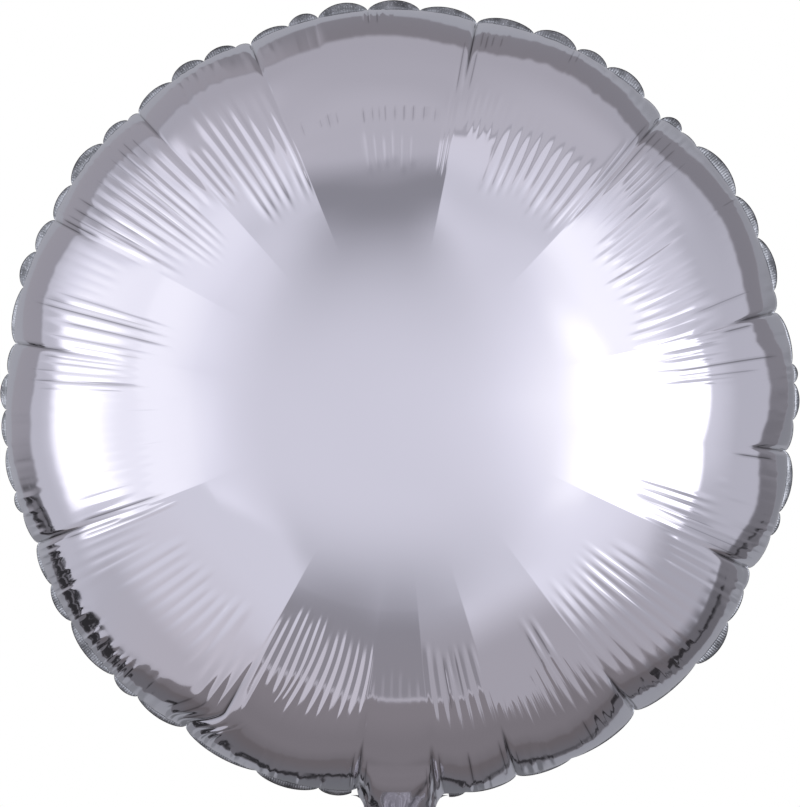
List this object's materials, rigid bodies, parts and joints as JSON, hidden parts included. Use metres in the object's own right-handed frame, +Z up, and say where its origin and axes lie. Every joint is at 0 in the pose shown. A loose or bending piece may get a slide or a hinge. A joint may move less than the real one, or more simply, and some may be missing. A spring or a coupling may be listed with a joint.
{
  "type": "round foil balloon",
  "caption": "Inflated round foil balloon: two pleated film panels on a welded rim, with a flat neck, a film valve and a tab with a ribbon hole.",
  "frame": {"origin": "centre of the gas space, on the seam plane, where the lift acts and the mount air is", "axes": "+Z up, away from the neck; the front panel faces -Y; +X to the right as seen from the front"},
  "size_m": [0.3558, 0.212, 0.4272],
  "materials": {
    "silver_film": "satin mirror, metallised film",
    "welded_film": "dull, heat sealed",
    "clear_film": "clear, slightly cloudy"
  },
  "bodies": {
    "root": {"front_panel": "silver_film", "back_panel": "silver_film", "rim_seal": "welded_film", "neck_front_leaf": "silver_film", "neck_back_leaf": "silver_film", "neck_seal_left": "welded_film", "neck_seal_right": "welded_film", "valve_front_ply": "clear_film", "valve_back_ply": "clear_film"}
  },
  "joints": []
}
